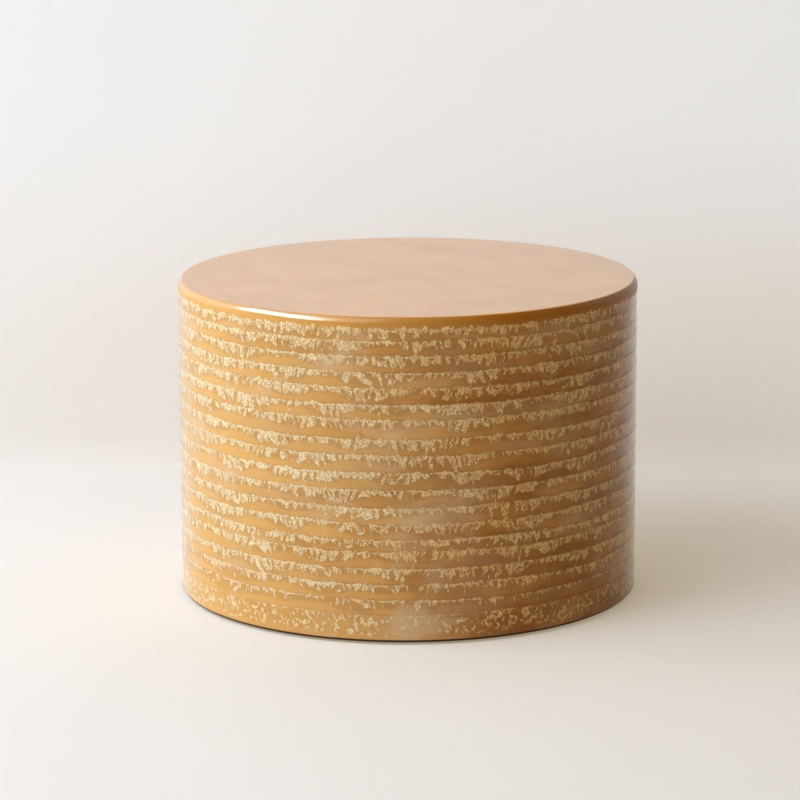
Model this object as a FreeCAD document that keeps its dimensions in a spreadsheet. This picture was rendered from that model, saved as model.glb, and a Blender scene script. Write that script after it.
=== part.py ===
"""Low glazed ceramic drum stool, as a parametric document in millimetres.

The stool is one firing of clay pieces that were luted together when leather hard:
a drum wall worked into courses, a top slab with a rounded rim, an in-turned base
ring, and a coil of clay pressed into each inside corner. It stands on stick-on pads.
The frame has +Z up, with its origin on the floor, on the drum's axis.
"""

import FreeCAD
import Part
import Sketcher

import math
import os

# Driving dimensions in millimetres, apart from the count of pads.
SIZES = {
    # The drum, measured over its glaze and from the floor.
    "drum_diameter": 600.0,
    "drum_height": 415.0,
    # The clay that it is built from.
    "wall_thickness": 12.0,
    "top_thickness": 16.0,
    "base_ring_thickness": 12.0,
    "base_ring_width": 48.0,
    "seam_coil_leg": 12.0,
    # The rim, rounded tightly at the side and more softly towards the top.
    "rim_side_radius": 7.0,
    "rim_top_radius": 10.0,
    # The bevelled edges.
    "foot_bevel": 3.0,
    "hand_hole_bevel": 3.0,
    # The courses round the wall, from the plain foot up. Each stands back from the lip
    # of the course below it and leans out to a lip of its own.
    "plain_foot_height": 54.5,
    "course_pitch": 20.5,
    "ledge_depth": 1.2,
    # The square pads under the base ring.
    "pad_count": 6,
    "pad_side": 26.0,
    "pad_thickness": 2.5,
    "pad_inset": 5.0,
    "pad_bevel": 0.5,
}

# How far a cut's outline runs past the clay, so that it goes right through the skin.
CUT_MARGIN = 2.0

# Two lengths that differ by less than this are the same.
SAME = 1e-4

FULL_TURN = 360.0

# How far the rim's side arc turns before its top arc takes over, in degrees.
RIM_SIDE_TURN = 45.0


class Length:
    """A length in millimetres, with the sheet expression that it follows."""

    def __init__(self, value, text):
        self.value = value
        self.text = text

    def __add__(self, other):
        return Length(self.value + other.value, f"{self.text} + {other.text}")

    def __sub__(self, other):
        return Length(self.value - other.value, f"{self.text} - ({other.text})")

    def __mul__(self, factor):
        return Length(self.value * factor, f"({self.text}) * {factor}")


def size(alias):
    return Length(float(SIZES[alias]), f"sizes.{alias}")


def make_sheet(doc):
    """The sheet that holds each driving dimension under its alias."""
    sheet = doc.addObject("Spreadsheet::Sheet", "sizes")
    for row, (alias, value) in enumerate(SIZES.items(), start=1):
        sheet.set(f"A{row}", alias)
        sheet.set(f"B{row}", str(value))
        sheet.setAlias(f"B{row}", alias)
    doc.recompute()


# Places that several pieces share, each worked out once from the sizes.
FLOOR_LEVEL = Length(0.0, "0")
OUTER_RADIUS = size("drum_diameter") * 0.5
INNER_RADIUS = OUTER_RADIUS - size("wall_thickness")
HAND_HOLE_RADIUS = INNER_RADIUS - size("base_ring_width")
FOOT_LEVEL = size("pad_thickness")
RING_TOP_LEVEL = FOOT_LEVEL + size("base_ring_thickness")
TOP_LEVEL = size("drum_height")
WALL_TOP_LEVEL = TOP_LEVEL - size("top_thickness")


def new_body(doc, label):
    body = doc.addObject("PartDesign::Body", label)
    body.Label = label
    return body


def origin_feature(body, role):
    return next(f for f in body.Origin.OriginFeatures if f.Role == role)


def new_sketch(body, name, plane, level=None):
    """A sketch on one of the body's origin planes, or at a level above it."""
    sketch = body.newObject("Sketcher::SketchObject", name)
    sketch.AttachmentSupport = [(origin_feature(body, plane), "")]
    sketch.MapMode = "FlatFace"
    if level is not None:
        sketch.setExpression("AttachmentOffset.Base.z", level.text)
    return sketch


def hold(sketch, kind, name, length, *place):
    """Adds a constraint of that kind to the sketch and binds it to the sheet."""
    index = sketch.addConstraint(Sketcher.Constraint(kind, *place, length.value))
    sketch.renameConstraint(index, name)
    sketch.setExpression(f"Constraints.{name}", length.text)


def draw_outline(sketch, corners):
    """A closed outline of straight sides through corners, each a pair of lengths."""
    points = [FreeCAD.Vector(x.value, y.value, 0) for x, y in corners]
    count = len(points)
    for i in range(count):
        sketch.addGeometry(Part.LineSegment(points[i], points[(i + 1) % count]))
    for i in range(count):
        sketch.addConstraint(Sketcher.Constraint("Coincident", i, 2, (i + 1) % count, 1))
    for i, (x, y) in enumerate(corners):
        hold(sketch, "DistanceX", f"corner_{i}_across", x, -1, 1, i, 1)
        hold(sketch, "DistanceY", f"corner_{i}_up", y, -1, 1, i, 1)


def draw_centred_circle(sketch, name, radius):
    """A circle about the sketch's origin."""
    circle = Part.Circle(FreeCAD.Vector(0, 0, 0), FreeCAD.Vector(0, 0, 1), radius.value)
    index = sketch.addGeometry(circle)
    sketch.addConstraint(Sketcher.Constraint("Coincident", index, 3, -1, 1))
    hold(sketch, "Radius", name, radius, index)


def turn_about_axis(body, kind, name, sketch):
    """A Revolution or Groove of the sketch, a full turn about the drum's axis."""
    feature = body.newObject(f"PartDesign::{kind}", name)
    feature.Profile = sketch
    feature.ReferenceAxis = (sketch, ["V_Axis"])
    feature.Angle = FULL_TURN
    return feature


def pad_up(body, name, sketch, thickness):
    feature = body.newObject("PartDesign::Pad", name)
    feature.Profile = sketch
    feature.setExpression("Length", thickness.text)
    return feature


def edges_round_axis(feature, radius, level):
    """The names of the feature's full circles of that radius at that level."""
    found = []
    for number, edge in enumerate(feature.Shape.Edges, start=1):
        curve = edge.Curve
        if not isinstance(curve, Part.Circle):
            continue
        if abs(curve.Radius - radius.value) > SAME:
            continue
        if abs(curve.Center.z - level.value) < SAME:
            found.append(f"Edge{number}")
    return found


def edges_at_level(feature, level):
    """The names of the feature's edges that lie flat at that level."""
    found = []
    for number, edge in enumerate(feature.Shape.Edges, start=1):
        if abs(edge.BoundBox.ZMax - level.value) < SAME:
            found.append(f"Edge{number}")
    return found


def bevel_edges(body, name, base, edge_names, width):
    bevel = body.newObject("PartDesign::Chamfer", name)
    bevel.Base = (base, edge_names)
    bevel.setExpression("Size", width.text)
    return bevel


def arc_through(centre, radius, start_angle, end_angle):
    """An arc about centre, a pair of numbers, between two angles in degrees."""
    circle = Part.Circle(FreeCAD.Vector(*centre, 0), FreeCAD.Vector(0, 0, 1), radius)
    return Part.ArcOfCircle(circle, math.radians(start_angle), math.radians(end_angle))


def draw_slab_section(sketch):
    """Half of the slab's section, from the drum's axis out to the rim.

    The rim is two arcs, each tangent to what it meets. The side arc turns up and
    inwards from the slab's side, and the top arc carries on until it is level.
    """
    side_radius = size("rim_side_radius").value
    top_radius = size("rim_top_radius").value
    turn = math.radians(RIM_SIDE_TURN)
    edge = OUTER_RADIUS.value
    bottom = WALL_TOP_LEVEL.value
    top = TOP_LEVEL.value

    # The two centres lie on one line through the point where the arcs meet.
    apart = top_radius - side_radius
    top_centre = (edge - side_radius - apart * math.cos(turn), top - top_radius)
    side_centre = (edge - side_radius, top_centre[1] + apart * math.sin(turn))
    axis_foot = FreeCAD.Vector(0, bottom, 0)
    side_foot = FreeCAD.Vector(edge, bottom, 0)
    side_head = FreeCAD.Vector(edge, side_centre[1], 0)
    rim_end = FreeCAD.Vector(top_centre[0], top, 0)
    axis_head = FreeCAD.Vector(0, top, 0)

    underside = sketch.addGeometry(Part.LineSegment(axis_foot, side_foot))
    side = sketch.addGeometry(Part.LineSegment(side_foot, side_head))
    side_arc = sketch.addGeometry(arc_through(side_centre, side_radius, 0, RIM_SIDE_TURN))
    top_arc = sketch.addGeometry(arc_through(top_centre, top_radius, RIM_SIDE_TURN, 90))
    seat = sketch.addGeometry(Part.LineSegment(rim_end, axis_head))
    on_axis = sketch.addGeometry(Part.LineSegment(axis_head, axis_foot))

    sketch.addConstraint(Sketcher.Constraint("Coincident", underside, 2, side, 1))
    sketch.addConstraint(Sketcher.Constraint("Tangent", side, 2, side_arc, 1))
    sketch.addConstraint(Sketcher.Constraint("Tangent", side_arc, 2, top_arc, 1))
    sketch.addConstraint(Sketcher.Constraint("Tangent", top_arc, 2, seat, 1))
    sketch.addConstraint(Sketcher.Constraint("Coincident", seat, 2, on_axis, 1))
    sketch.addConstraint(Sketcher.Constraint("Coincident", on_axis, 2, underside, 1))
    sketch.addConstraint(Sketcher.Constraint("Horizontal", underside))
    sketch.addConstraint(Sketcher.Constraint("Vertical", side))
    sketch.addConstraint(Sketcher.Constraint("Horizontal", seat))
    sketch.addConstraint(Sketcher.Constraint("PointOnObject", on_axis, 1, -2))
    sketch.addConstraint(Sketcher.Constraint("PointOnObject", on_axis, 2, -2))
    sketch.addConstraint(Sketcher.Constraint("Angle", side_arc, turn))
    hold(sketch, "DistanceX", "edge", OUTER_RADIUS, -1, 1, side, 1)
    hold(sketch, "DistanceY", "bottom", WALL_TOP_LEVEL, -1, 1, underside, 1)
    hold(sketch, "DistanceY", "top", TOP_LEVEL, -1, 1, seat, 2)
    hold(sketch, "Radius", "side_radius", size("rim_side_radius"), side_arc)
    hold(sketch, "Radius", "top_radius", size("rim_top_radius"), top_arc)


def build_top_slab(doc):
    """The seat: a rolled slab, its rim rounded with a wet sponge before glazing."""
    body = new_body(doc, "top_slab")
    section = new_sketch(body, "slab_section", "XZ_Plane")
    draw_slab_section(section)
    turn_about_axis(body, "Revolution", "slab", section)


def build_drum_wall(doc):
    """The wall: a plain drum whose skin is worked into courses, one above another.

    One course is cut as a wedge. It is deepest at its foot, which leaves the course
    below with a narrow ledge that faces up, and runs out to nothing at its own lip.
    The courses repeat it from the plain foot up, and the slab covers the highest one.
    """
    body = new_body(doc, "drum_wall")
    section = new_sketch(body, "wall_section", "XZ_Plane")
    draw_outline(
        section,
        [
            (INNER_RADIUS, FOOT_LEVEL),
            (OUTER_RADIUS, FOOT_LEVEL),
            (OUTER_RADIUS, WALL_TOP_LEVEL),
            (INNER_RADIUS, WALL_TOP_LEVEL),
        ],
    )
    turn_about_axis(body, "Revolution", "plain_wall", section)
    doc.recompute()

    pitch = size("course_pitch")
    lowest_ledge = FOOT_LEVEL + size("plain_foot_height")
    lip = lowest_ledge + pitch
    clear = Length(CUT_MARGIN, str(CUT_MARGIN))
    wedge = new_sketch(body, "course_section", "XZ_Plane")
    draw_outline(
        wedge,
        [
            (OUTER_RADIUS - size("ledge_depth"), lowest_ledge),
            (OUTER_RADIUS + clear, lowest_ledge),
            (OUTER_RADIUS + clear, lip),
            (OUTER_RADIUS, lip),
        ],
    )
    course = turn_about_axis(body, "Groove", "course", wedge)
    doc.recompute()

    # Enough courses to reach the slab.
    banded = WALL_TOP_LEVEL - lowest_ledge
    count = f"ceil(({banded.text}) / {pitch.text})"
    courses = body.newObject("PartDesign::LinearPattern", "courses")
    courses.Originals = [course]
    courses.Direction = (origin_feature(body, "Z_Axis"), [""])
    courses.setExpression("Occurrences", count)
    courses.setExpression("Length", f"{pitch.text} * ({count} - 1)")
    body.Tip = courses
    doc.recompute()
    foot = edges_round_axis(courses, OUTER_RADIUS, FOOT_LEVEL)
    bevel_edges(body, "bevelled_foot", courses, foot, size("foot_bevel"))


def build_base_ring(doc):
    """The in-turned ring that stiffens the foot and carries the pads.

    Its hole is where a hand reaches in to lift the stool, so the edge is bevelled.
    """
    body = new_body(doc, "base_ring")
    sketch = new_sketch(body, "ring_outline", "XY_Plane", FOOT_LEVEL)
    draw_centred_circle(sketch, "ring_radius", INNER_RADIUS)
    draw_centred_circle(sketch, "hole_radius", HAND_HOLE_RADIUS)
    ring = pad_up(body, "ring", sketch, size("base_ring_thickness"))
    doc.recompute()
    hole = edges_round_axis(ring, HAND_HOLE_RADIUS, FOOT_LEVEL)
    bevel_edges(body, "bevelled_hole", ring, hole, size("hand_hole_bevel"))


def build_seam_coil(doc, label, corner_level, away):
    """A coil pressed into the corner between the wall and a slab, then pared flat.

    corner_level is the slab's face, and away is 1 where the coil lies above it and
    -1 where it lies below.
    """
    body = new_body(doc, label)
    leg = size("seam_coil_leg")
    section = new_sketch(body, f"{label}_section", "XZ_Plane")
    draw_outline(
        section,
        [
            (INNER_RADIUS - leg, corner_level),
            (INNER_RADIUS, corner_level),
            (INNER_RADIUS, corner_level + leg * away),
        ],
    )
    turn_about_axis(body, "Revolution", f"{label}_ring", section)


def build_foot_pads(doc):
    """The stick-on pads, evenly spaced, pad_inset in from the base ring's outer edge."""
    side = size("pad_side")
    half = side * 0.5
    centre_radius = INNER_RADIUS - size("pad_inset") - half
    for number in range(int(SIZES["pad_count"])):
        body = new_body(doc, f"foot_pad_{number + 1}")
        sketch = new_sketch(body, "pad_outline", "XY_Plane")
        draw_outline(
            sketch,
            [
                (half * -1, half * -1),
                (half, half * -1),
                (half, half),
                (half * -1, half),
            ],
        )
        square = pad_up(body, "square", sketch, size("pad_thickness"))
        doc.recompute()
        lower = edges_at_level(square, FLOOR_LEVEL)
        bevel_edges(body, "bevelled_edge", square, lower, size("pad_bevel"))
        angle = FULL_TURN * (number + 0.5) / SIZES["pad_count"]
        body.Placement.Rotation = FreeCAD.Rotation(FreeCAD.Vector(0, 0, 1), angle)
        body.setExpression("Placement.Base.x", f"({centre_radius.text}) * cos({angle})")
        body.setExpression("Placement.Base.y", f"({centre_radius.text}) * sin({angle})")


def check(doc):
    """Stops before anything is written if a feature failed or a solid isn't sound."""
    for item in doc.Objects:
        faults = {"Invalid", "Error"} & set(item.State)
        if faults:
            raise RuntimeError(f"{item.Label} is {', '.join(sorted(faults))}")
    for body in bodies_of(doc):
        if body.Shape.isNull() or not body.Shape.isValid():
            raise RuntimeError(f"{body.Label} has no sound shape")
        if len(body.Shape.Solids) != 1:
            raise RuntimeError(f"{body.Label} has {len(body.Shape.Solids)} solids")


def bodies_of(doc):
    return [item for item in doc.Objects if item.TypeId == "PartDesign::Body"]


def write_parts(doc):
    os.makedirs("parts", exist_ok=True)
    for body in bodies_of(doc):
        body.Shape.exportStep(os.path.join("parts", f"{body.Label}.step"))
        print(f"{body.Label}: {body.Shape.Volume / 1000:.1f} cm3")


doc = FreeCAD.newDocument("drum_stool")
make_sheet(doc)
build_top_slab(doc)
build_drum_wall(doc)
build_base_ring(doc)
build_seam_coil(doc, "upper_seam_coil", WALL_TOP_LEVEL, -1)
build_seam_coil(doc, "lower_seam_coil", RING_TOP_LEVEL, 1)
build_foot_pads(doc)
doc.recompute()
check(doc)
write_parts(doc)
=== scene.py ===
"""The looks of a low glazed ceramic drum stool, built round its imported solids, in metres.

An amber glaze covers the stool. It lies smooth over the top and rim, and breaks to cream
along the lips of the courses that the wall was built up in.
"""

import math

import bpy
import numpy as np
from mathutils import Matrix, Vector


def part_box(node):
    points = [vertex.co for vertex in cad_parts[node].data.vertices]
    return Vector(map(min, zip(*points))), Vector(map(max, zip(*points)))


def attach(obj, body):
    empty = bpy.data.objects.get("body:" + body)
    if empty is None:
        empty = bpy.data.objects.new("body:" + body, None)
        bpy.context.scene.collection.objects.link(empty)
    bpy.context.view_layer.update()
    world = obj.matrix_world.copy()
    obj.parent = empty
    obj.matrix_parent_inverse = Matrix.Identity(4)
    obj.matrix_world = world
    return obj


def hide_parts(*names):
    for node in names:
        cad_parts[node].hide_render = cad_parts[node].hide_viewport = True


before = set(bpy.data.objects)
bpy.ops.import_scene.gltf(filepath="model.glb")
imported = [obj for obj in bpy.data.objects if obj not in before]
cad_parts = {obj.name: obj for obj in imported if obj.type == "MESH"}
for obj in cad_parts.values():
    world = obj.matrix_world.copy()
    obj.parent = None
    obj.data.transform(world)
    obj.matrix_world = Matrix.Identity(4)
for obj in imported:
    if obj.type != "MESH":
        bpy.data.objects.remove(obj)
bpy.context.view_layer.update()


# The drum wall
# One thick tube of clay, built up by hand in courses, so each course ends in a lip that
# stands a little proud. The amber glaze breaks to cream flecks down from each lip and
# lies smooth in the scalloped hollows between.
wall_low, wall_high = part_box("drum_wall")
WALL_RADIUS = wall_high.x
WALL_THICKNESS = 0.012
WALL_INSIDE = WALL_RADIUS - WALL_THICKNESS
WALL_FOOT = wall_low.z
WALL_TOP = wall_high.z
FOOT_BEVEL = 0.003
POINTS_ROUND = 600

# The height of each course's lip, lowest first. The top one is where the slab sits.
LIP_HEIGHTS = np.array([
    0.038, 0.057, 0.077, 0.097, 0.119, 0.134, 0.155, 0.175, 0.197, 0.219,
    0.241, 0.262, 0.286, 0.305, 0.326, 0.346, 0.366, 0.385, WALL_TOP,
])
LIP_WANDER = 0.0013
LIP_RAGGED = 0.0005

# How far in from the drum's skin a course starts, at its ledge.
LEDGE_DEEPEST = 0.0007
LEDGE_SHALLOWEST = 0.0001

# How far down from its lip a course is flecked, and the least that is left smooth.
BAND_THINNEST = 0.0070
BAND_THICKEST = 0.0165
LEAST_SMOOTH = 0.0035
FOOT_BAND = 0.026
FOOT_BAND_WANDER = 0.004

SEED = 11
random = np.random.default_rng(SEED)
angle = np.linspace(0.0, 2.0 * math.pi, POINTS_ROUND, endpoint=False)


def wave_round(rows, slowest, fastest):
    """Smooth noise round the drum, one row of it for each course, from -1 to 1.

    Each row is a sum of cosines of the angle whose wave numbers run from slowest to
    fastest, with random sizes and phases, divided by twice its own spread and clipped.
    """
    numbers = np.arange(slowest, fastest + 1)
    sizes = random.normal(size=(rows, numbers.size, 1))
    phases = random.uniform(0.0, 2.0 * math.pi, size=(rows, numbers.size, 1))
    waves = (sizes * np.cos(numbers[:, None] * angle + phases)).sum(axis=1)
    spread = waves.std(axis=1, keepdims=True)
    return np.clip(waves / (2.0 * spread), -1.0, 1.0)


def ease(x):
    """0 below 0, 1 above 1, and three x squared less two x cubed between."""
    t = np.clip(x, 0.0, 1.0)
    return t * t * (3.0 - 2.0 * t)


courses = LIP_HEIGHTS.size
lip = LIP_HEIGHTS[:, None] + LIP_WANDER * wave_round(courses, 2, 9)
lip += LIP_RAGGED * wave_round(courses, 20, 70)
lip[-1] = WALL_TOP
foot_of_course = np.vstack([np.full(POINTS_ROUND, WALL_FOOT), lip[:-1]])
course_height = lip - foot_of_course
ledge = LEDGE_SHALLOWEST + (LEDGE_DEEPEST - LEDGE_SHALLOWEST) * (
    0.5 + 0.5 * wave_round(courses, 3, 30)
)

# The flecks lie in thick and thin stretches by turns. They lean one way and the other, are
# crisp along the lip or not, and some stretches are hazy with a painted milky sheen.
band = BAND_THINNEST + (BAND_THICKEST - BAND_THINNEST) * ease(
    0.50 + 0.60 * wave_round(courses, 6, 24)
)
band = np.minimum(band, course_height - LEAST_SMOOTH)
band[0] = FOOT_BAND + FOOT_BAND_WANDER * wave_round(1, 4, 16)[0]
lean = wave_round(courses, 6, 30)
crispness = 0.5 + 0.5 * wave_round(courses, 4, 24)
sheen_haze = 0.5 + 0.5 * wave_round(courses, 2, 12)

# Painted light: the left side, which the window lights, is painted paler: one broad cosine round
# the drum, a little further round in some courses than in others.
PAINTED_LIT_SIDE = math.radians(-155.0)
PAINTED_LIT_WANDER = 0.20
painted_light = np.cos(angle - PAINTED_LIT_SIDE + PAINTED_LIT_WANDER * wave_round(courses, 1, 5))
painted_light = np.clip(painted_light, 0.0, 1.0)

# A course's section from its lip down: how far each point lies below the lip, and how
# far in from the skin. It is proudest just under the lip and falls back below its flecks,
# to stand furthest in over the ledge. The lowest course runs straight down to the foot.
LIP_EDGE = 0.0004
LIP_PROUDEST = 0.0013
PAST_BAND = 0.0022
OVER_LEDGE = 0.0005
FOOT_RINGS = 10
FOOT_BEVEL_MIDDLE = 0.0010
at_lip = np.zeros(POINTS_ROUND)
rings = []
for k in range(courses - 1, -1, -1):
    tall = course_height[k]
    flecked = band[k]
    back = ledge[k]
    section = [
        (at_lip, 0.40 * back),
        (at_lip + LIP_EDGE, 0.10 * back),
        (at_lip + LIP_PROUDEST, at_lip),
    ]
    if k > 0:
        section += [
            (0.5 * flecked + 0.0007, 0.10 * back),
            (flecked, 0.35 * back),
            (flecked + PAST_BAND, 0.85 * back),
            (tall - OVER_LEDGE, back),
            (tall, 0.92 * back),
        ]
    else:
        for share in np.linspace(0.1, 1.0, FOOT_RINGS):
            plain = share * (tall - FOOT_BEVEL - LIP_PROUDEST)
            section.append((LIP_PROUDEST + plain, 0.25 * back))
        section += [
            (tall - FOOT_BEVEL_MIDDLE, 0.25 * back + FOOT_BEVEL_MIDDLE),
            (tall, 0.25 * back + FOOT_BEVEL),
        ]
    for below_lip, inset in section:
        rings.append({
            "course": k,
            "drop": below_lip,
            "recess": inset,
            "rise": tall - below_lip,
            "level": lip[k] - below_lip,
        })

drop = np.array([ring["drop"] for ring in rings])
rise = np.array([ring["rise"] for ring in rings])
recess = np.array([ring["recess"] for ring in rings])
level = np.array([ring["level"] for ring in rings])
owner = np.array([ring["course"] for ring in rings])


def soften(field, passes):
    """Each value averaged with its two neighbours round the drum, that many times."""
    for _ in range(passes):
        field = 0.5 * field + 0.25 * (np.roll(field, 1, axis=1) + np.roll(field, -1, axis=1))
    return field


# The curds of glaze stand in low lumps, as far down as the flecks reach.
LUMP_HEIGHT = 0.00022
LUMPS_FADE_IN = 0.002
LUMPS_FADE_OUT = 0.003
lumps = soften(random.normal(size=drop.shape), 2)
lumps = lumps / np.abs(lumps).max()
among_flecks = 1.0 - ease((drop - band[owner]) / LUMPS_FADE_OUT)
recess = recess + LUMP_HEIGHT * (1.0 + lumps) * among_flecks * ease(drop / LUMPS_FADE_IN)


def turned(radius, level):
    """The points at radius and level, both by ring and angle, about the drum's axis."""
    return np.stack([radius * np.cos(angle), radius * np.sin(angle), level], axis=-1)


def add_skin(name, grid, attributes, capped):
    """A closed skin over a grid of points, ring by ring from the top down the outside.

    Each four neighbouring points make one face. The grid closes on itself round the
    drum. If capped, a fan closes the first ring and the last about their mean points,
    and if not, the last ring joins the first.
    """
    ring_count, points_round = grid.shape[:2]
    joined = ring_count if not capped else ring_count - 1
    i = np.arange(joined)[:, None]
    j = np.arange(points_round)[None, :]
    below = (i + 1) % ring_count
    after = (j + 1) % points_round
    corners = [
        i * points_round + j,
        below * points_round + j,
        below * points_round + after,
        i * points_round + after,
    ]
    quads = np.stack(np.broadcast_arrays(*corners), axis=-1).reshape(-1, 4)
    points = grid.reshape(-1, 3)
    faces = quads.tolist()
    if capped:
        around = np.arange(points_round)
        onward = (around + 1) % points_round
        first_pole = len(points)
        last_ring = (ring_count - 1) * points_round
        last_pole = first_pole + 1
        points = np.vstack([points, grid[0].mean(axis=0), grid[-1].mean(axis=0)])
        top_fan = np.stack([np.full_like(around, first_pole), around, onward], axis=-1)
        bottom_fan = np.stack(
            [np.full_like(around, last_pole), last_ring + onward, last_ring + around],
            axis=-1,
        )
        faces += top_fan.tolist() + bottom_fan.tolist()
    mesh = bpy.data.meshes.new(name)
    mesh.from_pydata(points, [], faces)
    for label, values in attributes.items():
        layer = mesh.attributes.new(label, "FLOAT", "POINT")
        padded = np.zeros(len(points), np.float32)
        padded[: values.size] = values.ravel()
        layer.data.foreach_set("value", padded)
    mesh.shade_smooth()
    mesh.update()
    piece = bpy.data.objects.new(name, mesh)
    bpy.context.scene.collection.objects.link(piece)
    return piece


# The inside is a plain bare tube, so every attribute is 0 there.
INSIDE_LEVELS = np.array([WALL_FOOT, 0.100, 0.200, 0.300, WALL_TOP])
inside_shape = (INSIDE_LEVELS.size, POINTS_ROUND)
inside_level = np.broadcast_to(INSIDE_LEVELS[:, None], inside_shape)
inside = turned(np.full(inside_shape, WALL_INSIDE), inside_level)
outside = turned(WALL_RADIUS - recess, level)
bare = np.zeros(inside_shape)
glaze_facts = {
    "drop": drop,
    "rise": rise,
    "band": band[owner],
    "lean": lean[owner],
    "crispness": crispness[owner],
    "sheen_haze": sheen_haze[owner],
    "painted_light": painted_light[owner],
    "glazed": np.ones_like(drop),
}
wall = add_skin(
    "glazed_drum_wall",
    np.concatenate([outside, inside]),
    {label: np.concatenate([field, bare]) for label, field in glaze_facts.items()},
    capped=False,
)


class Sheet:
    """Adds nodes to one node tree. An input may be a number, a tuple or an output."""

    def __init__(self, tree):
        self.tree = tree

    def fill(self, node, inputs):
        """Sets each of those inputs of the node, or links it to the output given for it."""
        for key, value in dict(inputs).items():
            if isinstance(value, bpy.types.NodeSocket):
                self.tree.links.new(value, node.inputs[key])
            else:
                node.inputs[key].default_value = value

    def add(self, kind, inputs=(), **settings):
        node = self.tree.nodes.new(kind)
        for key, value in settings.items():
            setattr(node, key, value)
        self.fill(node, inputs)
        return node

    def math(self, operation, *values):
        return self.add("ShaderNodeMath", enumerate(values), operation=operation).outputs[0]

    def vector(self, operation, *values):
        node = self.add("ShaderNodeVectorMath", enumerate(values), operation=operation)
        return node.outputs["Value" if operation == "LENGTH" else "Vector"]

    def ramp(self, value, start, end, low=0.0, high=1.0):
        """value taken smoothly from low at start to high at end, and held beyond."""
        inputs = {
            "Value": value, "From Min": start, "From Max": end, "To Min": low, "To Max": high,
        }
        return self.add("ShaderNodeMapRange", inputs, interpolation_type="SMOOTHSTEP").outputs[0]

    def mix(self, share, first, second):
        node = self.add("ShaderNodeMix", {0: share, 6: first, 7: second}, data_type="RGBA")
        return node.outputs[2]

    def noise(self, place, scale, detail=2.0, roughness=0.5, distortion=0.0):
        inputs = {
            "Vector": place, "Scale": scale, "Detail": detail,
            "Roughness": roughness, "Distortion": distortion,
        }
        return self.add("ShaderNodeTexNoise", inputs).outputs["Fac"]

    def bump(self, height, distance, strength):
        inputs = {"Height": height, "Distance": distance, "Strength": strength}
        return self.add("ShaderNodeBump", inputs).outputs["Normal"]

    def attribute(self, name):
        return self.add("ShaderNodeAttribute", attribute_name=name).outputs["Fac"]

    def place(self):
        return self.add("ShaderNodeTexCoord").outputs["Object"]

    def stretched(self, place, upright):
        """place with its height multiplied by upright, which draws a noise out or in."""
        return self.vector("MULTIPLY", place, (1.0, 1.0, upright))

    def axes(self, place):
        return self.add("ShaderNodeSeparateXYZ", {0: place}).outputs


def srgb(red, green, blue):
    """The linear colour, with alpha, of sRGB levels from 0 to 255."""
    levels = np.array([red, green, blue]) / 255.0
    linear = np.where(levels <= 0.04045, levels / 12.92, ((levels + 0.055) / 1.055) ** 2.4)
    return (*linear.tolist(), 1.0)


def new_material(name):
    """A material with one Principled shader, and the sheet to add nodes to it."""
    material = bpy.data.materials.new(name)
    material.use_nodes = True
    sheet = Sheet(material.node_tree)
    shader = material.node_tree.nodes["Principled BSDF"]
    return material, sheet, shader


def glaze_group():
    """The amber glaze itself, used on the wall and the slab.

    Out comes its colour, which drifts between a light and a deep amber over hand widths
    and is deeper where Pooling says.
    """
    group = bpy.data.node_groups.new("amber_glaze", "ShaderNodeTree")
    group.interface.new_socket("Place", in_out="INPUT", socket_type="NodeSocketVector")
    group.interface.new_socket("Light Amber", in_out="INPUT", socket_type="NodeSocketColor")
    group.interface.new_socket("Deep Amber", in_out="INPUT", socket_type="NodeSocketColor")
    group.interface.new_socket("Pooling", in_out="INPUT", socket_type="NodeSocketFloat")
    group.interface.new_socket("Colour", in_out="OUTPUT", socket_type="NodeSocketColor")
    sheet = Sheet(group)
    given = group.nodes.new("NodeGroupInput").outputs
    result = group.nodes.new("NodeGroupOutput").inputs
    squat = sheet.stretched(given["Place"], 2.2)
    broad = sheet.ramp(sheet.noise(squat, 9.0, detail=3.0, roughness=0.55), 0.32, 0.68)
    fine = sheet.ramp(sheet.noise(squat, 60.0, detail=2.0), 0.3, 0.7, -0.12, 0.12)
    depth = sheet.math("ADD", sheet.math("ADD", broad, fine), given["Pooling"])
    colour = sheet.mix(sheet.ramp(depth, 0.0, 1.0), given["Light Amber"], given["Deep Amber"])
    group.links.new(colour, result["Colour"])
    return group


def curds_group():
    """The curds of glaze that break to cream, used on the wall and low on the slab.

    Out come a noise drawn out upright, high inside a curd and low between two, and a
    fine grain for the cream itself.
    """
    group = bpy.data.node_groups.new("glaze_curds", "ShaderNodeTree")
    group.interface.new_socket("Place", in_out="INPUT", socket_type="NodeSocketVector")
    group.interface.new_socket("Curds", in_out="OUTPUT", socket_type="NodeSocketFloat")
    group.interface.new_socket("Grain", in_out="OUTPUT", socket_type="NodeSocketFloat")
    sheet = Sheet(group)
    given = group.nodes.new("NodeGroupInput").outputs
    result = group.nodes.new("NodeGroupOutput").inputs
    drawn_out = sheet.stretched(given["Place"], 0.46)
    curds = sheet.noise(drawn_out, 165.0, detail=1.6, roughness=0.5, distortion=0.4)
    grain = sheet.noise(given["Place"], 420.0, detail=1.0)
    group.links.new(curds, result["Curds"])
    group.links.new(sheet.ramp(grain, 0.35, 0.65, 0.35, 1.0), result["Grain"])
    return group


AMBER_GLAZE = glaze_group()
GLAZE_CURDS = curds_group()
WALL_LIGHT_AMBER = srgb(204, 134, 54)
WALL_DEEP_AMBER = srgb(170, 101, 28)
# The paler amber, cream and rim colours for the left side are painted light, copies lit by the
# window.
LIT_SIDE_AMBER = srgb(242, 188, 108)
CREAM = srgb(255, 203, 120)
LIT_SIDE_CREAM = srgb(255, 242, 196)
# Painted shade: the brown in the slits between the raised flecks, and a lighter copy for the lit
# side.
SLIT_SHADE_BROWN = srgb(136, 80, 26)
LIT_SIDE_SLIT_SHADE = srgb(208, 146, 76)
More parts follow.
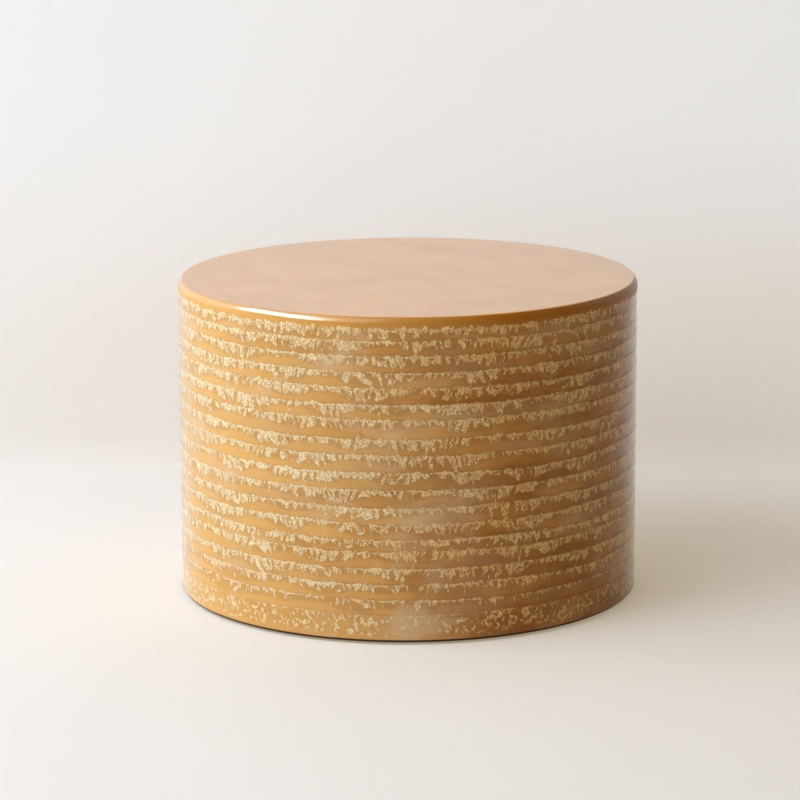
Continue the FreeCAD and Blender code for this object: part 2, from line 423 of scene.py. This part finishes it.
# Tan ground with painted shade among the raised flecks.
TAN_AND_SHADE = srgb(184, 124, 54)
# Painted sheen: a milky tone that stands in for the glaze's soft gloss.
MILKY_SHEEN = srgb(238, 200, 154)
# Painted shade under the foot's bevel.
FOOT_SHADE_BROWN = srgb(52, 28, 10)
INSIDE_CLAY = srgb(196, 154, 114)

banded_glaze, sheet, shader = new_material("banded_glaze")
place = sheet.place()
height = sheet.axes(place)["Z"]

# In millimetres: how far below its lip a point is, how far over its ledge, and how far
# down the flecks reach there. Then the first as a share of the last.
MILLIMETRES = 1000.0
below_lip = sheet.math("MULTIPLY", sheet.attribute("drop"), MILLIMETRES)
over_ledge = sheet.math("MULTIPLY", sheet.attribute("rise"), MILLIMETRES)
flecked_to = sheet.math("MULTIPLY", sheet.attribute("band"), MILLIMETRES)
reach = sheet.math("DIVIDE", below_lip, flecked_to)

# The flecks lean one way and then the other, so the place slides round the drum with
# the drop below the lip.
STEEPEST_LEAN = 0.5
along = sheet.vector("NORMALIZE", sheet.vector("CROSS_PRODUCT", (0.0, 0.0, 1.0), place))
slant = sheet.math("MULTIPLY", sheet.attribute("lean"), STEEPEST_LEAN)
slide = sheet.math("MULTIPLY", slant, sheet.attribute("drop"))
slide_by = sheet.add("ShaderNodeVectorMath", {0: along, "Scale": slide}, operation="SCALE")
leaning = sheet.vector("ADD", place, slide_by.outputs["Vector"])

# The flecks are curds of glaze, and there is one wherever the noise passes the level
# wanted. That is low along the lip and just over the ledge, so they lie close together
# there, and it rises down the band and past it. It also rises down the lowest courses.
THINNING_FROM = 0.095
THINNING_TO = 0.045
broken = sheet.add("ShaderNodeGroup", {"Place": leaning}, node_tree=GLAZE_CURDS).outputs
within_band = sheet.ramp(reach, 0.0, 0.9, 0.40, 0.48)
past_band = sheet.ramp(reach, 0.75, 1.30, 0.0, 0.25)
from_ledge = sheet.ramp(over_ledge, 0.0, 3.0, 0.43, 0.70)
crisp = sheet.ramp(sheet.attribute("crispness"), 0.2, 0.8)
lip_line = sheet.math("MULTIPLY", sheet.ramp(below_lip, 0.8, 3.0, 0.20, 0.0), crisp)
thinning = sheet.ramp(height, THINNING_FROM, THINNING_TO, 0.0, 0.11)
wanted = sheet.math("MINIMUM", sheet.math("ADD", within_band, past_band), from_ledge)
wanted = sheet.math("ADD", sheet.math("SUBTRACT", wanted, lip_line), thinning)
past_wanted = sheet.math("SUBTRACT", broken["Curds"], wanted)
row_flecks = sheet.ramp(past_wanted, -0.02, 0.07)

# Near the foot the rows give way to loose strokes that cross in X and Y shapes.
STROKES_FROM = 0.046
STROKES_ALONE = 0.034
near_foot = sheet.ramp(height, STROKES_FROM, STROKES_ALONE)
over_foot = sheet.math("SUBTRACT", 1.0, near_foot)
crossing = sheet.noise(sheet.stretched(place, 0.8), 120.0, detail=1.0)
crossing = sheet.math("ABSOLUTE", sheet.math("SUBTRACT", crossing, 0.5))
clumps = sheet.ramp(sheet.noise(place, 150.0, detail=1.0), 0.47, 0.53)
strokes = sheet.math("MULTIPLY", sheet.ramp(crossing, 0.055, 0.100, 1.0, 0.0), clumps)
strokes = sheet.math("MULTIPLY", strokes, sheet.ramp(reach, 0.80, 1.15, 1.0, 0.0))
flecks = sheet.math(
    "ADD",
    sheet.math("MULTIPLY", row_flecks, over_foot),
    sheet.math("MULTIPLY", strokes, near_foot),
)

# Thin upright slits part the flecks of the rows, along the middle level of a noise.
near_flecks = sheet.math("MULTIPLY", sheet.ramp(past_wanted, -0.06, 0.0), over_foot)
contour = sheet.noise(sheet.stretched(leaning, 0.35), 190.0, detail=1.0)
contour = sheet.math("ABSOLUTE", sheet.math("SUBTRACT", contour, 0.5))
slits = sheet.math("MULTIPLY", sheet.ramp(contour, 0.006, 0.034, 1.0, 0.0), near_flecks)

# The amber pools darker over each ledge. It is painted paler on the left side, where the window
# lights it, and a little milky in the hazy stretches, which is painted sheen.
painted_light_there = sheet.attribute("painted_light")
amber = sheet.add("ShaderNodeGroup", {
    "Place": place,
    "Light Amber": WALL_LIGHT_AMBER,
    "Deep Amber": WALL_DEEP_AMBER,
    "Pooling": sheet.ramp(over_ledge, 0.0, 4.5, 0.45, 0.0),
}, node_tree=AMBER_GLAZE).outputs["Colour"]
amber_lit_side = sheet.mix(sheet.math("MULTIPLY", painted_light_there, 0.85), amber, LIT_SIDE_AMBER)
milky_sheen = sheet.mix(sheet.ramp(sheet.attribute("sheen_haze"), 0.45, 0.95, 0.0, 0.15), amber_lit_side, MILKY_SHEEN)

# Between the flecks it is tan, partly the glaze's own colour and partly painted shade among the
# raised flecks, less so near the foot and on the left side, which is painted lighter where the
# window lights it.
among = sheet.math(
    "MAXIMUM",
    sheet.ramp(reach, 0.80, 1.25, 1.0, 0.0),
    sheet.ramp(over_ledge, 0.5, 2.6, 1.0, 0.0),
)
among = sheet.math("MULTIPLY", among, sheet.ramp(near_foot, 0.0, 1.0, 1.0, 0.35))
tan_and_shade_share = sheet.math("MULTIPLY", among, sheet.ramp(painted_light_there, 0.0, 1.0, 0.55, 0.30))
ground = sheet.mix(tan_and_shade_share, milky_sheen, TAN_AND_SHADE)

# The flecks are grainy cream, painted paler on the lit left side, with a painted shade line,
# brown, down each slit.
cream = sheet.mix(broken["Grain"], ground, sheet.mix(painted_light_there, CREAM, LIT_SIDE_CREAM))
flecked = sheet.mix(flecks, ground, cream)
slit_shade = sheet.mix(painted_light_there, SLIT_SHADE_BROWN, LIT_SIDE_SLIT_SHADE)
parted = sheet.mix(sheet.math("MULTIPLY", slits, 0.75), flecked, slit_shade)

# Faint milky clouds drift over all of it, a painted sheen, stronger on the lit left side.
cloud = sheet.noise(sheet.stretched(place, 1.6), 11.0, detail=4.0, roughness=0.6)
sheen_cloud_strength = sheet.ramp(painted_light_there, 0.0, 0.6, 0.12, 0.55)
sheen_clouds = sheet.math("MULTIPLY", sheet.ramp(cloud, 0.50, 0.70), sheen_cloud_strength)
sheen_clouded = sheet.mix(sheen_clouds, parted, MILKY_SHEEN)

# Painted shade: the foot's bevel, which faces down into shade over the floor, is painted dark
# brown. The inside was left bare.
FOOT_SHADE_LINE = WALL_FOOT + 0.0042
FOOT_SHADE_SOFTNESS = 0.0010
painted_foot_shade = sheet.ramp(height, FOOT_SHADE_LINE, FOOT_SHADE_LINE - FOOT_SHADE_SOFTNESS)
outer_colour = sheet.mix(painted_foot_shade, sheen_clouded, FOOT_SHADE_BROWN)
wall_colour = sheet.mix(sheet.attribute("glazed"), INSIDE_CLAY, outer_colour)

# The flecks stand up a little, the slits are cut in, and the glaze glosses where it is
# seen edge on.
relief = sheet.math("SUBTRACT", flecks, sheet.math("MULTIPLY", slits, 0.4))
edge_on = sheet.add("ShaderNodeLayerWeight", {"Blend": 0.5}).outputs["Facing"]
sheet.fill(shader, {
    "Base Color": wall_colour,
    "Roughness": sheet.ramp(flecks, 0.0, 1.0, 0.33, 0.42),
    "Specular IOR Level": 0.2,
    "Normal": sheet.bump(relief, distance=0.0006, strength=1.0),
    "Coat Weight": sheet.ramp(edge_on, 0.50, 0.88),
    "Coat Roughness": 0.15,
    "Coat IOR": 1.5,
})
wall.data.materials.append(banded_glaze)
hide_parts("drum_wall")
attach(wall, "root")


# The top slab
# A rolled clay slab luted on the wall, its rim rounded with a wet sponge. The glaze
# lies thick and smooth on it, glossier than on the wall.
slab_low, slab_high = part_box("top_slab")
SLAB_RADIUS = slab_high.x
SLAB_TOP = slab_high.z
SLAB_BOTTOM = slab_low.z
SLAB_POINTS_ROUND = 384
POLE_RADIUS = 0.004
FLAT_RINGS = 60

# The rim turns over fast at the top, slowly where it faces up and outwards, and faster
# again into the side: the radius of its bend, by how far its skin faces up in degrees.
FACING_UP = [0.0, 12.0, 22.0, 38.0, 48.0, 90.0]
BEND_RADIUS = [0.005, 0.007, 0.017, 0.017, 0.0035, 0.0035]
RIM_RINGS = 37
facing = np.radians(np.linspace(90.0, 0.0, RIM_RINGS))
between = 0.5 * (facing[:-1] + facing[1:])
bend = np.interp(np.degrees(between), FACING_UP, BEND_RADIUS) * (facing[0] - facing[1])
outwards = np.concatenate([[0.0], np.cumsum(bend * np.sin(between))])
downwards = np.concatenate([[0.0], np.cumsum(bend * np.cos(between))])
flat_to = SLAB_RADIUS - outwards[-1]

# The slab's section, as radius and level: the flat top, the rim, and then the side and
# the underside with a small bevel between them.
side_and_under = np.array([
    (SLAB_RADIUS, SLAB_BOTTOM + 0.004),
    (SLAB_RADIUS, SLAB_BOTTOM + 0.0006),
    (SLAB_RADIUS - 0.0004, SLAB_BOTTOM),
    (0.280, SLAB_BOTTOM),
    (0.140, SLAB_BOTTOM),
    (POLE_RADIUS, SLAB_BOTTOM),
])
profile_radius = np.concatenate([
    np.linspace(POLE_RADIUS, flat_to, FLAT_RINGS, endpoint=False),
    flat_to + outwards,
    side_and_under[:, 0],
])
profile_level = np.concatenate([
    np.full(FLAT_RINGS, SLAB_TOP),
    SLAB_TOP - downwards,
    side_and_under[:, 1],
])
slab_angle = np.linspace(0.0, 2.0 * math.pi, SLAB_POINTS_ROUND, endpoint=False)
across = profile_radius[:, None] * np.cos(slab_angle)
away = profile_radius[:, None] * np.sin(slab_angle)

# The top dips and swells by a fraction of a millimetre, as a sum of slow waves, which
# fades out down the rim.
SLAB_UNEVEN = 0.00020
SWELL_WAVES = 9
SWELL_STARTS = 0.006
SWELL_GROWS_OVER = 0.010
swell = np.zeros_like(across)
for _ in range(SWELL_WAVES):
    heading = random.uniform(0.0, 2.0 * math.pi)
    waves_per_metre = random.uniform(2.0, 9.0)
    phase = random.uniform(0.0, 2.0 * math.pi)
    distance = across * math.cos(heading) + away * math.sin(heading)
    swell += np.cos(2.0 * math.pi * waves_per_metre * distance + phase) / SWELL_WAVES
on_top = ease((profile_level - SLAB_BOTTOM - SWELL_STARTS) / SWELL_GROWS_OVER)[:, None]
slab_level = profile_level[:, None] - SLAB_UNEVEN * (0.5 + 0.5 * swell) * on_top
# Painted light: the slab is painted paler towards the left side, where the window lights it.
slab_painted_light = np.clip(np.cos(slab_angle - PAINTED_LIT_SIDE), 0.0, 1.0)
slab = add_skin(
    "glazed_top_slab",
    np.stack([across, away, slab_level], axis=-1),
    {"painted_light": np.broadcast_to(slab_painted_light, across.shape)},
    capped=True,
)

# Heights over the floor: where the top's colour gives way to the rim's, where the gloss
# does, where the rim's gloss fades down the side, and where the fringe of flecks ends.
RIM_COLOUR_FROM = 0.4148
RIM_COLOUR_FULL = 0.4132
RIM_GLOSS_FROM = 0.4147
RIM_GLOSS_FULL = 0.4140
GLOSS_FADES_FROM = 0.4095
GLOSS_FADES_TO = 0.4060
FLECKS_FROM = 0.399
FLECKS_TO = 0.406
TOP_LIGHT_AMBER = srgb(232, 160, 66)
TOP_DEEP_AMBER = srgb(224, 150, 56)
RIM_AMBER = srgb(188, 112, 22)
LIT_SIDE_RIM = srgb(236, 176, 88)
top_glaze, sheet, shader = new_material("rim_and_top_glaze")
place = sheet.place()
height = sheet.axes(place)["Z"]
painted_light_there = sheet.attribute("painted_light")
amber = sheet.add("ShaderNodeGroup", {
    "Place": place,
    "Light Amber": TOP_LIGHT_AMBER,
    "Deep Amber": TOP_DEEP_AMBER,
}, node_tree=AMBER_GLAZE).outputs["Colour"]
# Painted light: the rim is painted paler on the left side, where the window lights it.
rim_colour = sheet.mix(painted_light_there, RIM_AMBER, LIT_SIDE_RIM)
glazed = sheet.mix(sheet.ramp(height, RIM_COLOUR_FROM, RIM_COLOUR_FULL), amber, rim_colour)

# The wall's flecks run up over the joint, in a fringe low on the rim.
broken = sheet.add("ShaderNodeGroup", {"Place": place}, node_tree=GLAZE_CURDS).outputs
wanted = sheet.ramp(height, FLECKS_FROM, FLECKS_TO, 0.42, 0.74)
flecks = sheet.ramp(sheet.math("SUBTRACT", broken["Curds"], wanted), -0.02, 0.07)
flecks = sheet.math("MULTIPLY", flecks, broken["Grain"])
flecked = sheet.mix(flecks, glazed, sheet.mix(painted_light_there, CREAM, LIT_SIDE_CREAM))

# The underside was left bare, within the wall.
from_axis = sheet.vector("LENGTH", sheet.stretched(place, 0.0))
underneath = sheet.math(
    "MULTIPLY",
    sheet.ramp(height, SLAB_BOTTOM + 0.001, SLAB_BOTTOM + 0.0005),
    sheet.ramp(from_axis, WALL_INSIDE + 0.006, WALL_INSIDE + 0.003),
)
slab_colour = sheet.mix(underneath, flecked, INSIDE_CLAY)

# The rim's coat is full on the left side, where the window's highlight falls, and less down its
# side.
# The top glosses most where it is seen edge on.
rim_coat = sheet.math(
    "MULTIPLY",
    sheet.ramp(painted_light_there, 0.66, 0.84, 0.22, 1.0),
    sheet.ramp(height, GLOSS_FADES_FROM, GLOSS_FADES_TO, 1.0, 0.15),
)
edge_on = sheet.add("ShaderNodeLayerWeight", {"Blend": 0.5}).outputs["Facing"]
top_coat = sheet.ramp(edge_on, 0.35, 0.68, 0.10, 0.82)
orange_peel = sheet.noise(place, 140.0, detail=1.0)
sheet.fill(shader, {
    "Base Color": slab_colour,
    "Roughness": 0.30,
    "Specular IOR Level": 0.15,
    "Normal": sheet.bump(orange_peel, distance=0.00003, strength=0.5),
    "Coat Weight": sheet.ramp(height, RIM_GLOSS_FROM, RIM_GLOSS_FULL, top_coat, rim_coat),
    "Coat Roughness": 0.08,
    "Coat IOR": 2.2,
})
slab.data.materials.append(top_glaze)
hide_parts("top_slab")
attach(slab, "root")


# The base ring and the seam coils
# Bare biscuit-fired clay, grogged and wiped with a sponge. The ring is luted inside the
# foot, and each coil is pressed into an inside corner to seal it.
CLAY_PALE = srgb(214, 178, 140)
CLAY_DARK = srgb(176, 134, 98)
GROG = srgb(120, 84, 58)
bare_clay, sheet, shader = new_material("bare_clay")
place = sheet.place()
patches = sheet.noise(place, 14.0, detail=4.0, roughness=0.6)
clay = sheet.mix(sheet.ramp(patches, 0.3, 0.7), CLAY_PALE, CLAY_DARK)
grog = sheet.ramp(sheet.noise(place, 420.0, detail=0.0), 0.68, 0.72)
grain = sheet.noise(place, 900.0, detail=2.0)
sheet.fill(shader, {
    "Base Color": sheet.mix(grog, clay, GROG),
    "Roughness": sheet.ramp(patches, 0.3, 0.7, 0.80, 0.92),
    "Normal": sheet.bump(grain, distance=0.0004, strength=0.6),
})
for node in ("base_ring", "upper_seam_coil", "lower_seam_coil"):
    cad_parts[node].data.materials.clear()
    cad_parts[node].data.materials.append(bare_clay)


# The foot pads
# Six squares die-cut from black rubber sheet with an adhesive back, stuck under the
# base ring so that the clay doesn't scratch the floor.
RUBBER = srgb(38, 36, 35)
RUBBER_DUSTY = srgb(62, 58, 54)
PAD_COUNT = 6
pad_rubber, sheet, shader = new_material("pad_rubber")
place = sheet.place()
dust = sheet.noise(place, 120.0, detail=3.0, roughness=0.65)
pores = sheet.noise(place, 1500.0)
sheet.fill(shader, {
    "Base Color": sheet.mix(sheet.ramp(dust, 0.45, 0.75), RUBBER, RUBBER_DUSTY),
    "Roughness": sheet.ramp(dust, 0.3, 0.7, 0.62, 0.85),
    "Normal": sheet.bump(pores, distance=0.0001, strength=0.5),
})
for number in range(1, PAD_COUNT + 1):
    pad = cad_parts[f"foot_pad_{number}"]
    pad.data.materials.clear()
    pad.data.materials.append(pad_rubber)


# The floor and backdrop
# A plain pale sweep: a floor that curves up into a wall close behind the stool. The wall
# can't be seen from behind, so the stool shows from every side.
FLOOR_HALF_WIDTH = 6.0
FLOOR_FRONT = -6.0
WALL_BEHIND = 0.66
SWEEP_RADIUS = 0.05
BACKDROP_HEIGHT = 3.5
SWEEP_STEPS = 16
sweep_turn = np.linspace(0.0, math.pi / 2.0, SWEEP_STEPS)
sweep_y = np.concatenate([
    [FLOOR_FRONT],
    WALL_BEHIND - SWEEP_RADIUS + SWEEP_RADIUS * np.sin(sweep_turn),
    [WALL_BEHIND],
])
sweep_z = np.concatenate([
    [0.0],
    SWEEP_RADIUS - SWEEP_RADIUS * np.cos(sweep_turn),
    [BACKDROP_HEIGHT],
])
count = sweep_y.size
left_edge = np.stack([np.full(count, -FLOOR_HALF_WIDTH), sweep_y, sweep_z], axis=-1)
right_edge = np.stack([np.full(count, FLOOR_HALF_WIDTH), sweep_y, sweep_z], axis=-1)
strip = np.arange(count - 1)
sweep_faces = np.stack([strip, strip + count, strip + count + 1, strip + 1], axis=-1)
sweep_mesh = bpy.data.meshes.new("sweep")
sweep_mesh.from_pydata(np.vstack([left_edge, right_edge]), [], sweep_faces.tolist())
sweep_mesh.shade_smooth()
sweep = bpy.data.objects.new("sweep", sweep_mesh)
bpy.context.scene.collection.objects.link(sweep)

# Seen by the camera or in a reflection, a share of the plaster is its own white: a small
# warm share on the floor, and a larger plain one up the backdrop. In reflections that
# share falls away to the right of the stool.
FLOOR_WHITE = srgb(246, 249, 252)
FLOOR_GLOW = (0.98, 0.80, 0.53, 1.0)
BACKDROP_GLOW = (1.0, 0.96, 0.90, 1.0)
FLOOR_GLOW_SHARE = 0.33
BACKDROP_GLOW_SHARE = 0.58
BACKDROP_GLOW_FULL = 0.55
DIMMER_FROM = 0.45
DIMMEST_AT = 1.10
plaster, sheet, shader = new_material("pale_plaster")
sheet.fill(shader, {"Base Color": FLOOR_WHITE, "Roughness": 0.85, "Specular IOR Level": 0.0})
rays = sheet.add("ShaderNodeLightPath").outputs
spot = sheet.axes(sheet.place())
dimmer = sheet.ramp(spot["X"], DIMMER_FROM, DIMMEST_AT, 1.0, 0.20)
glossy = sheet.math("MULTIPLY", rays["Is Glossy Ray"], dimmer)
straight = sheet.math("MAXIMUM", rays["Is Camera Ray"], glossy)
straight = sheet.math("MAXIMUM", straight, rays["Is Transmission Ray"])
up_backdrop = sheet.ramp(spot["Z"], 0.0, BACKDROP_GLOW_FULL)
glow = sheet.add("ShaderNodeEmission", {
    "Color": sheet.mix(up_backdrop, FLOOR_GLOW, BACKDROP_GLOW),
    "Strength": 1.0,
})
glow_share = sheet.ramp(
    spot["Z"], 0.0, BACKDROP_GLOW_FULL, FLOOR_GLOW_SHARE, BACKDROP_GLOW_SHARE
)
lit_plaster = sheet.add("ShaderNodeMixShader", {
    0: sheet.math("MULTIPLY", straight, glow_share),
    1: shader.outputs[0],
    2: glow.outputs[0],
})
one_sided = sheet.add("ShaderNodeMixShader", {
    0: sheet.add("ShaderNodeNewGeometry").outputs["Backfacing"],
    1: lit_plaster.outputs[0],
    2: sheet.add("ShaderNodeBsdfTransparent").outputs[0],
})
sheet.fill(sheet.tree.nodes["Material Output"], {"Surface": one_sided.outputs[0]})
sweep_mesh.materials.append(plaster)


# The light and the camera
# One wide window to the left and a little in front, a softer one nearer the camera, a weak
# warm room round it all, and a long lens looking slightly down.
LAMPS_FACE = Vector((0.0, 0.0, 0.20))


def add_lamp(name, bearing, rise, distance, size, power, colour):
    """A soft rectangular lamp turned towards the middle of the stool.

    It hangs at that distance from there, bearing degrees to the right of the camera and
    rise degrees up.
    """
    aside = math.radians(bearing)
    up = math.radians(rise)
    ray = Vector((
        math.cos(up) * math.sin(aside),
        -math.cos(up) * math.cos(aside),
        math.sin(up),
    ))
    lamp = bpy.data.lights.new(name, "AREA")
    lamp.shape = "RECTANGLE"
    lamp.size, lamp.size_y = size
    lamp.energy = power
    lamp.color = colour
    holder = bpy.data.objects.new(name, lamp)
    holder.location = LAMPS_FACE + distance * ray
    holder.rotation_euler = (-ray).to_track_quat("-Z", "Y").to_euler()
    bpy.context.scene.collection.objects.link(holder)


add_lamp(
    "window", bearing=-74.0, rise=40.0, distance=4.2,
    size=(4.2, 1.4), power=117.0, colour=(0.96, 1.02, 1.12),
)
add_lamp(
    "second_window", bearing=-42.0, rise=46.0, distance=4.4,
    size=(3.0, 2.8), power=54.0, colour=(0.98, 1.01, 1.08),
)

# The room lights the stool weakly. Seen by the camera or in a reflection it is pale, but
# reflections of it are dim in front of the stool and to its right.
ROOM_LIGHT = (1.0, 0.76, 0.52, 1.0)
ROOM_LIGHT_STRENGTH = 0.09
ROOM_SEEN = (0.86, 0.83, 0.79, 1.0)
world = bpy.data.worlds.new("room")
world.use_nodes = True
sheet = Sheet(world.node_tree)
background = sheet.tree.nodes["Background"]
sheet.fill(background, {"Color": ROOM_LIGHT, "Strength": ROOM_LIGHT_STRENGTH})
seen = sheet.add("ShaderNodeBackground", {"Color": ROOM_SEEN, "Strength": 1.0})
rays = sheet.add("ShaderNodeLightPath").outputs
towards = sheet.axes(sheet.add("ShaderNodeTexCoord").outputs["Generated"])
behind = sheet.ramp(towards["Y"], -0.35, 0.25, 0.15, 1.0)
not_right = sheet.ramp(towards["X"], 0.05, 0.55, 1.0, 0.10)
reflected = sheet.math("MAXIMUM", rays["Is Glossy Ray"], rays["Is Transmission Ray"])
reflected = sheet.math("MULTIPLY", sheet.math("MULTIPLY", reflected, behind), not_right)
room = sheet.add("ShaderNodeMixShader", {
    0: sheet.math("MAXIMUM", rays["Is Camera Ray"], reflected),
    1: background.outputs[0],
    2: seen.outputs[0],
})
sheet.fill(sheet.tree.nodes["World Output"], {"Surface": room.outputs[0]})
bpy.context.scene.world = world

CAMERA_BACK = 4.3761
CAMERA_UP = 1.1966
CAMERA_LENS = 153.05
CAMERA_SENSOR = 36.0
LOOKING_DOWN = 0.21358
TURNED_LEFT = 0.00238
ROLLED = -0.0047
camera_data = bpy.data.cameras.new("camera")
camera_data.sensor_width = CAMERA_SENSOR
camera_data.lens = CAMERA_LENS
camera = bpy.data.objects.new("camera", camera_data)
tilt = Matrix.Rotation(math.pi / 2.0 - LOOKING_DOWN, 4, "X")
turn = Matrix.Rotation(TURNED_LEFT, 4, "Z")
roll = Matrix.Rotation(ROLLED, 4, "Z")
camera.matrix_world = Matrix.Translation((0.0, -CAMERA_BACK, CAMERA_UP)) @ turn @ tilt @ roll
bpy.context.scene.collection.objects.link(camera)
bpy.context.scene.camera = camera
bpy.context.scene.view_settings.view_transform = "Standard"
